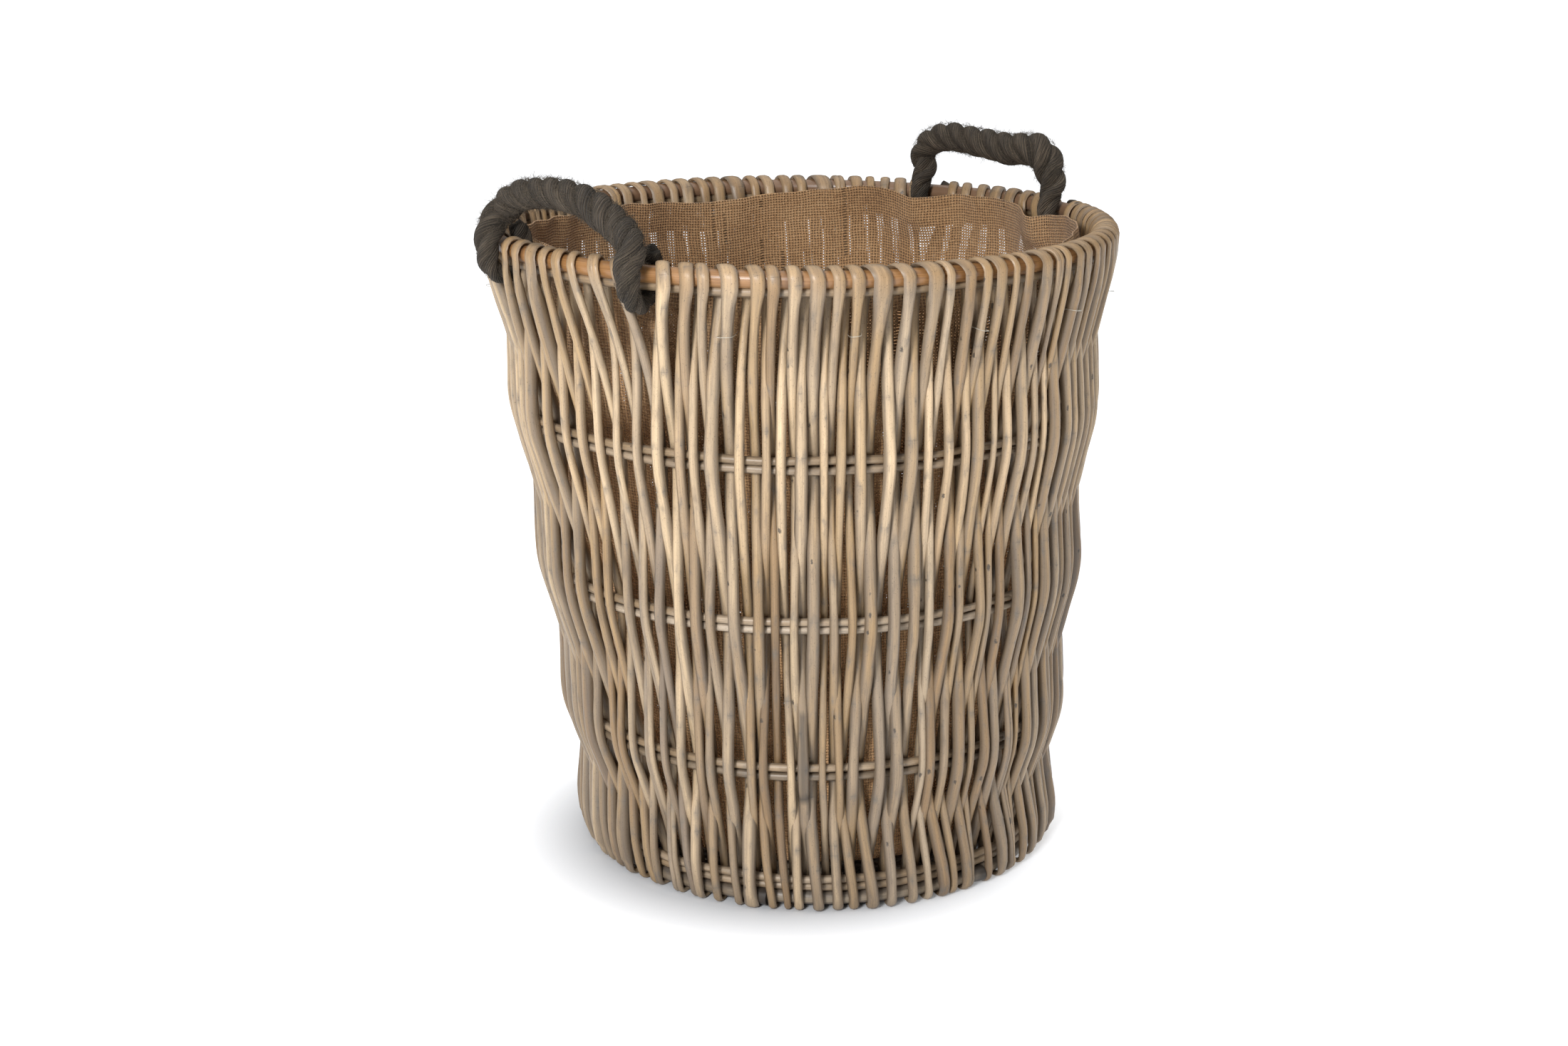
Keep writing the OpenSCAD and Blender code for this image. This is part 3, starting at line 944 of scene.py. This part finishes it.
# how far the cloth's top edge is raised, in mm, at azimuths in degrees
TOP_AZ = [-150, -110, -70, -45, -36, -21, -12, 8, 20, 29, 44, 59, 69, 90, 112, 149, 180]
TOP_RISE = [1, -1, 2, 6, 6, 2, 5, 5, 3, 7, 2, -4, -8, -3, -3, 2, 0]
HEM_DEPTH = 24 * MM
HEM_BEND = 0.9 * MM


def grid_mesh(name, grid, u, v):
    """A cloth tube from rows of points that close round, with its map in metres."""
    rows, columns = grid.shape[:2]
    i, k = np.meshgrid(np.arange(rows - 1), np.arange(columns), indexing="ij")
    nk = (k + 1) % columns
    step = u[1] - u[0]
    face = ((i, k, 0), (i, nk, step), (i + 1, nk, step), (i + 1, k, 0))
    quads = np.stack([row * columns + column for row, column, _ in face], -1)
    flat = np.stack([np.stack([u[k] + far, v[row]], -1) for row, _, far in face], 2)
    mesh = new_mesh(name, grid.reshape(-1, 3).tolist(), quads.reshape(-1, 4).tolist())
    layer = mesh.uv_layers.new(name="cloth")
    layer.data.foreach_set("uv", flat.astype(np.float32).ravel())
    return mesh


def waves(rng, orders, power):
    """A sum of sines round the liner, one in size at most."""
    total = np.zeros(LINER_COLUMNS)
    for order in orders:
        total += rng.normal() * np.cos(order * LINER_AZ + rng.uniform(0, TAU)) / order ** power
    return total / np.abs(total).max()


def hem_rows(grid, ripple):
    """The hem, turned outward over the top row and laid down along the cloth."""
    out = outward(LINER_AZ)
    top = grid[-1]
    rise = unit(top - grid[-2])
    turned = [top + HEM_BEND * (np.sin(angle) * rise + (1 - np.cos(angle)) * out)
              for angle in np.radians([35, 90, 145])]
    columns = np.arange(LINER_COLUMNS)
    for s in np.linspace(0.12, 1, 7):
        z = top[:, 2] - s * HEM_DEPTH
        index = np.clip(np.argmin(np.abs(grid[:, :, 2] - z), axis=0), 1, len(grid) - 2)
        pick, following = grid[index, columns], grid[index + 1, columns]
        mix = np.clip((z - pick[:, 2]) / (following[:, 2] - pick[:, 2]), -1, 1)[:, None]
        off = 1.8 * MM + 0.5 * MM * ripple[:, None] + 0.3 * MM * s
        turned.append(pick + (following - pick) * mix + out * off)
    return np.array(turned)


def liner_rows(rng, tie_az, tie_z, start_z):
    """Rows of the cloth's side from start_z to its top, and the ripple of its edge."""
    az = LINER_AZ
    held = bell(nearest(az, tie_az), 0.075)
    folds = [waves(rng, range(5, 30), 0.5) for _ in range(3)]
    edge = waves(rng, range(3, 17), 0.6)
    ripple = waves(rng, range(14, 44), 0.2)
    shape = np.interp(np.degrees(az), TOP_AZ, TOP_RISE, period=360)
    pushed = ROPE_PUSH * bell(nearest(az, ROPE_AZ), 0.085)
    top_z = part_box("liner_side")[1][2] + (4 + shape + 0.8 * ripple) * MM - 0.3 * pushed
    rows = []
    for t in np.concatenate([np.linspace(0, 0.8, 52), np.linspace(0.81, 1.0, 20)]):
        z = start_z + (top_z - start_z) * t
        lift = clamp((z - tie_z) / (top_z - tie_z))
        slack = clamp(1 - np.abs(z - tie_z) / (90 * MM))
        body = 1.6 * MM * (folds[0] + 1) * min(1.0, 2 * t) + 1.0 * MM * (folds[1] + 1) * t
        sag = slack * (1 - held) * (3.5 * MM + 2.5 * MM * folds[2])
        off = -LINER_GAP - body * (1 - held * slack) - sag
        off_top = -TOP_INWARD + 2.4 * MM * edge + 2.2 * MM * ripple
        off = off + (off_top - off) * lift ** 1.4
        rows.append(wall_point(az, z, off - pushed * clamp((z - tie_z) / (20 * MM))))
    return rows, ripple


def make_liner_base(rng, centre, base_z, base_r, u):
    """The disc of cloth on the woven base, with a few soft folds."""
    radii = np.concatenate([[0.001], np.linspace(0.01, base_r, 36)])
    folds = waves(rng, range(2, 12), 0.5)
    disc = []
    for r in radii:
        t = r / base_r
        z = base_z + (0.9 + 0.7 * folds * math.sin(5 * t)) * MM * (1 - t) * t * 4
        disc.append(circle(centre, LINER_AZ, r, z))
    disc = np.array(disc)[::-1]
    mesh = grid_mesh("hessian_liner_base", disc, u, radii)
    flat = disc[..., :2].reshape(-1, 2)
    point_of = np.zeros(len(mesh.loops), np.int32)
    mesh.loops.foreach_get("vertex_index", point_of)
    mesh.uv_layers["cloth"].data.foreach_set("uv", flat[point_of].astype(np.float32).ravel())
    base = place("hessian_liner_base", mesh, HESSIAN, "liner_base", sharp=180)


def make_liner(tied):
    """The cloth tube from the base to its hem, and the disc that closes it."""
    rng = np.random.default_rng(21)
    tie_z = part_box("liner_ties")[0][2]
    z = np.arange(0, RIM[2], FINE_STEP)
    tie_az = np.array([leg_azimuth(z, leg)[int(tie_z / FINE_STEP)] for leg in tied])
    low, high = corners("liner_base")
    cloth_z, base_r = high[2] + 0.6 * MM, (high[0] - low[0]) / 2
    centre = (low + high) / 2
    rows, ripple = liner_rows(rng, tie_az, tie_z, high[2] + 9 * MM)
    foot = circle(centre, LINER_AZ, base_r, cloth_z)
    bottom = [foot + (rows[0] - foot) * np.where(UP > 0, s ** 1.8, s) for s in (0.0, 0.35, 0.7)]
    grid = np.array(bottom + rows)
    grid = np.concatenate([grid, hem_rows(grid, ripple)])
    v = np.concatenate([[0], np.cumsum(np.linalg.norm(np.diff(grid, axis=0), axis=2).mean(1))])
    length = TAU * float(wall_r(0.27) - LINER_GAP)
    u = np.arange(LINER_COLUMNS) * length / LINER_COLUMNS
    mesh = grid_mesh("hessian_liner_side", grid, u, v)
    side = place("hessian_liner_side", mesh, HESSIAN, "liner_side", sharp=180)
    make_liner_base(rng, centre, cloth_z, base_r, u)
    return tie_az, tie_z


def make_ties(tied, tie_az, tie_z):
    """A clear thread knotted round an outer leg and the cloth behind it."""
    rng = np.random.default_rng(8)
    tubes = Tubes()
    thread = 0.2 * MM
    for leg, az in zip(tied, tie_az):
        t = np.linspace(0, 1, 25)
        swing = np.interp(t, [0, 0.2, 0.38, 0.62, 0.8, 1], [-0.6, -1, -0.95, 0.95, 1, 0.6])
        face = FOLD_SIDE - 0.4 * MM + leg["r"] + 0.3 * MM
        off = np.interp(t, [0, 0.3, 0.42, 0.58, 0.7, 1], [-14.4 * MM, face - 4 * MM, face, face,
                                                         face - 4 * MM, -14.4 * MM])
        off = smooth(off, 0.05, 0.04)
        swing = smooth(swing, 0.05, 0.04) * (leg["r"] + 0.7 * MM) / RIM_R
        z = tie_z + rng.uniform(-2, 2) * MM + 1.5 * MM * np.sin(t * 3 + rng.uniform(0, 6))
        path = wall_point(az + swing, z, off)
        tubes.sweep(path, np.tile(UP, (len(t), 1)), thread, thread, 6, rng.random())
    tubes.build("liner_tie_threads", THREAD, "liner_ties")


# ---- rope handles

ROPE_STEP = 1.5 * MM
HAIRS = 15000
HAIR_R = 0.12 * MM
TWIST = 1 / (30 * MM)
EYE_R = 17 * MM
LAY = 56 * MM
YARNS = 7


def spline(points, step):
    """A smooth line through points, with even steps."""
    p = np.array(points, float)
    p = np.concatenate([[2 * p[0] - p[1]], p, [2 * p[-1] - p[-2]]])
    t = np.linspace(0, 1, 17)[:-1, None]
    line = []
    for a, b, c, d in zip(p[:-3], p[1:-2], p[2:-1], p[3:]):
        line.append(0.5 * (2 * b + (c - a) * t + (2 * a - 5 * b + 4 * c - d) * t ** 2
                           + (3 * b - 3 * c + d - a) * t ** 3))
    line = np.concatenate([*line, p[-2][None]])
    s = along(line)
    at = np.linspace(0, s[-1], int(s[-1] / step) + 1)
    return np.stack([np.interp(at, s, line[:, k]) for k in range(3)], axis=1)


def carried(path, first):
    """A normal carried along a path without turning about it."""
    tangent = unit(np.gradient(path, axis=0))
    normal = np.empty_like(path)
    normal[0] = unit(first - (first @ tangent[0]) * tangent[0])
    for k in range(1, len(path)):
        n = normal[k - 1]
        normal[k] = unit(n - (n @ tangent[k]) * tangent[k])
    return tangent, normal


def rope_line(half, arch, lay, tail_top, skew):
    """The middle of a rope in its own plane: outward, along the hinge line and up.

    lay is 1 where the rope comes down outside the cane and its tail ends inside, or -1.
    skew is how far the last end is moved along the cane, and how much it turns with the cane.
    """
    def end(way):
        tail = [(-12, 3, tail_top), (-16, 2.5, tail_top / 2), (-17, 1, -2)]
        under = [(EYE_R / MM * math.cos(a), 0.5, EYE_R / MM * math.sin(a))
                 for a in np.radians([210, 240, 272, 306, 338])]
        neck = [(EYE_R / MM, 0, 2), (16, 0.3, 13), (10, 0, 25)]
        moved, turned = skew if way < 0 else (0, 0)
        return [(lay * x * MM, way * (half + (y + moved + turned * x) * MM), z * MM)
                for x, y, z in tail + under + neck]
    middle = [(x * MM, y * MM, z * MM) for x, y, z in arch]
    return end(1) + middle + end(-1)[::-1]


def make_rope(name, side, joint, arch, lay, rope_r, tail_top, skew, seed):
    rng = np.random.default_rng(seed)
    hinge = np.array(joint["pos_m"])
    half = RIM_R * math.sin(HANDLE_AZ)
    flat = spline(rope_line(half, arch, lay, tail_top, skew), ROPE_STEP)
    path = hinge + flat * np.array([side, 1, 1])
    s = along(path)
    total = s[-1]
    from_end = np.minimum(s, total - s)
    size = np.interp(from_end, np.array([0, 6, 20, 40, 62, 76, 92, 118]) * MM,
                     np.array([7.6, 8.2, 7.6, 6.8, 7.2, 9.2, 10.6, rope_r / MM]) * MM)
    shoulder = bell(s - 0.69 * total, 16 * MM) * (lay < 0)
    size = smooth(size, 8 * MM, ROPE_STEP) * (1 + 0.12 * shoulder)
    size = size * (1 + 0.15 * unevenness(rng, len(s), 14 * MM, ROPE_STEP))
    tangent, normal = carried(path, np.array([0.0, 0.0, 1.0]))
    other = np.cross(tangent, normal)
    tubes = Tubes()
    round_r = size * (0.38 if lay > 0 else 0.43)
    strand = size - round_r
    turn = s / LAY + 0.15 * unevenness(rng, len(s), 20 * MM, ROPE_STEP)

    for k in range(3):
        angle = TAU * (k / 3 + turn)
        away = round_line(angle, normal, other)
        lump = 1 + 0.15 * unevenness(rng, len(s), 8 * MM, ROPE_STEP)
        centre = path + away * (round_r * lump)[:, None]

        def yarns(theta, at):
            wave = np.cos(YARNS * (theta[None] + TWIST * at[:, None]) + k)
            return 0.97 + 0.05 * np.sqrt(np.abs(wave))

        # The right rope's strands get higher tones, painted lighter to make up for the shade the right
        # rope sits in.
        tone = 0.1 + 0.15 * k if lay > 0 else 0.4 + 0.2 * k
        width = strand * lump
        tubes.sweep(centre, away, width, width, 28, tone, ripple=yarns, spin=TWIST, cut=0.6)

    count = HAIRS if lay > 0 else 3 * HAIRS // 4
    at = rng.integers(3, len(s) - 3, count)
    angle = rng.uniform(0, TAU, count)
    away = round_line(angle, normal[at], other[at])
    root = path[at] + away * (size[at] * 0.92)[:, None]
    length = np.minimum(rng.gamma(2.2, 1.3, count), 8)[:, None] * MM
    length = np.where(rng.random((count, 1)) < 0.02, length * 2, length)
    way = unit(tangent[at] * rng.normal(0, 1.0, (count, 1)) + away * rng.uniform(0.1, 0.75, (count, 1))
               + rng.normal(0, 0.35, (count, 3)))
    end = root + way * length
    bend = (root + end) / 2 + rng.normal(0, 0.22, (count, 3)) * length
    in_eye = (from_end[at] < 92 * MM)[:, None]
    end = np.where(in_eye, root + (end - root) * 0.35, end)
    bend = np.where(in_eye, (root + end) / 2, bend)
    tubes.hairs(root, end, bend, HAIR_R, 0.5)
    tubes.build(name, ROPE, name.replace("twisted_", ""), joint["child"], sharp=180)


LEFT_ARCH = [
    (1, 74, 32), (1, 66, 39), (0.5, 52, 44.5), (0, 34, 48), (0, 12, 50), (0, -12, 49),
    (-0.5, -34, 45), (0, -52, 39), (1, -66, 33),
]
RIGHT_ARCH = [
    (-9, 80, 36), (-10, 74, 45), (-10, 64, 51.5), (-10, 48, 55), (-9, 25, 53.5), (-9, 2, 52.5),
    (-9, -20, 51), (-9, -38, 52), (-9, -52, 52), (-9, -62, 46), (-9, -67, 36),
]


def make_ropes():
    joints = {j["child"]: j for j in frame["joints"]}
    make_rope("twisted_rope_handle_left", -1, joints["left_handle"], LEFT_ARCH, 1,
              11.7 * MM, 19, (9.0, 0.5), 31)
    make_rope("twisted_rope_handle_right", 1, joints["right_handle"], RIGHT_ARCH, -1,
              12.6 * MM, 4, (-3, 0), 32)


# ---- camera, floor and light

VIEW_AZ = math.radians(-42)
CAMERA_AWAY = 1.773
CAMERA_HEIGHT = 0.7644
CAMERA_DOWN = math.radians(16.07)
CAMERA_PAN = math.radians(-0.38)
LENS = 51.96
FLOOR_HALF = 30.0


def seen(right, away, up):
    """A place given to the right of, away from and above the rim's centre on the floor, in view."""
    c, s = math.cos(VIEW_AZ), math.sin(VIEW_AZ)
    return Vector((right * c - away * s, right * s + away * c, up))


def aim(made, direction):
    """Turns a camera or a light to look along a direction."""
    made.rotation_mode = "QUATERNION"
    made.rotation_quaternion = direction.to_track_quat("-Z", "Y")


def make_camera():
    data = bpy.data.cameras.new("camera")
    data.lens = LENS
    data.sensor_width = 36
    camera = add_object("camera", data)
    camera.location = seen(0, -CAMERA_AWAY, CAMERA_HEIGHT)
    flat = math.cos(CAMERA_DOWN)
    look = seen(math.sin(CAMERA_PAN) * flat, math.cos(CAMERA_PAN) * flat, -math.sin(CAMERA_DOWN))
    aim(camera, look)
    bpy.context.scene.camera = camera


def make_floor():
    places = [(x * FLOOR_HALF, y * FLOOR_HALF, 0) for x, y in ((-1, -1), (1, -1), (1, 1), (-1, 1))]
    mesh = new_mesh("floor", places, [(0, 1, 2, 3)])
    floor = add_object("floor", mesh)
    m = Shader("floor")
    # Painted contact shadow: the floor glows white away from the basket and less and less towards its
    # foot, round a centre a little to the left and towards the camera.
    from_foot = m.vector("SUBTRACT", m.node("NewGeometry"), seen(-0.012, -0.034, 0))
    away = m.node("VectorMath", {0: from_foot}, output=1, operation="LENGTH")
    m.set(Base_Color=(0.645, 0.66, 0.685, 1), Roughness=0.9, Specular_IOR_Level=0.1,
          Emission_Color=(1, 1, 1, 1), Emission_Strength=m.span(away, 0.158, 0.240, 0.0, 0.70))
    mesh.materials.append(m.material)


def make_studio():
    """A white world, a wide soft light from above and a smaller one from the camera's left."""
    world = bpy.data.worlds.new("studio")
    world.use_nodes = True
    background = world.node_tree.nodes["Background"]
    background.inputs[0].default_value = (1, 1, 1, 1)
    background.inputs[1].default_value = 0.17
    bpy.context.scene.world = world
    sun = bpy.data.lights.new("sky", "SUN")
    sun.energy = 1.65
    sun.angle = math.radians(95)
    aim(add_object("sky", sun), seen(-0.09, -0.1, -1.0))
    disc = bpy.data.lights.new("key", "AREA")
    disc.shape = "DISK"
    disc.size = 0.6
    disc.energy = 52.5
    key = add_object("key", disc)
    key.location = seen(-0.72, -2.12, 1.25)
    aim(key, Vector((0, 0, 0.3)) - key.location)
    bpy.context.scene.view_settings.view_transform = "Standard"


make_camera()
make_floor()
make_studio()
ARCS = make_stakes()
make_hoops()
make_base()
TIED = [ARCS[side][2 * round((k + 0.5) * SIDE_STAKES / 6 - 0.5) + 1]
        for side in ("front", "back") for k in range(6)]
TIE_AZ, TIE_Z = make_liner(TIED)
make_ties(TIED, TIE_AZ, TIE_Z)
make_ropes()
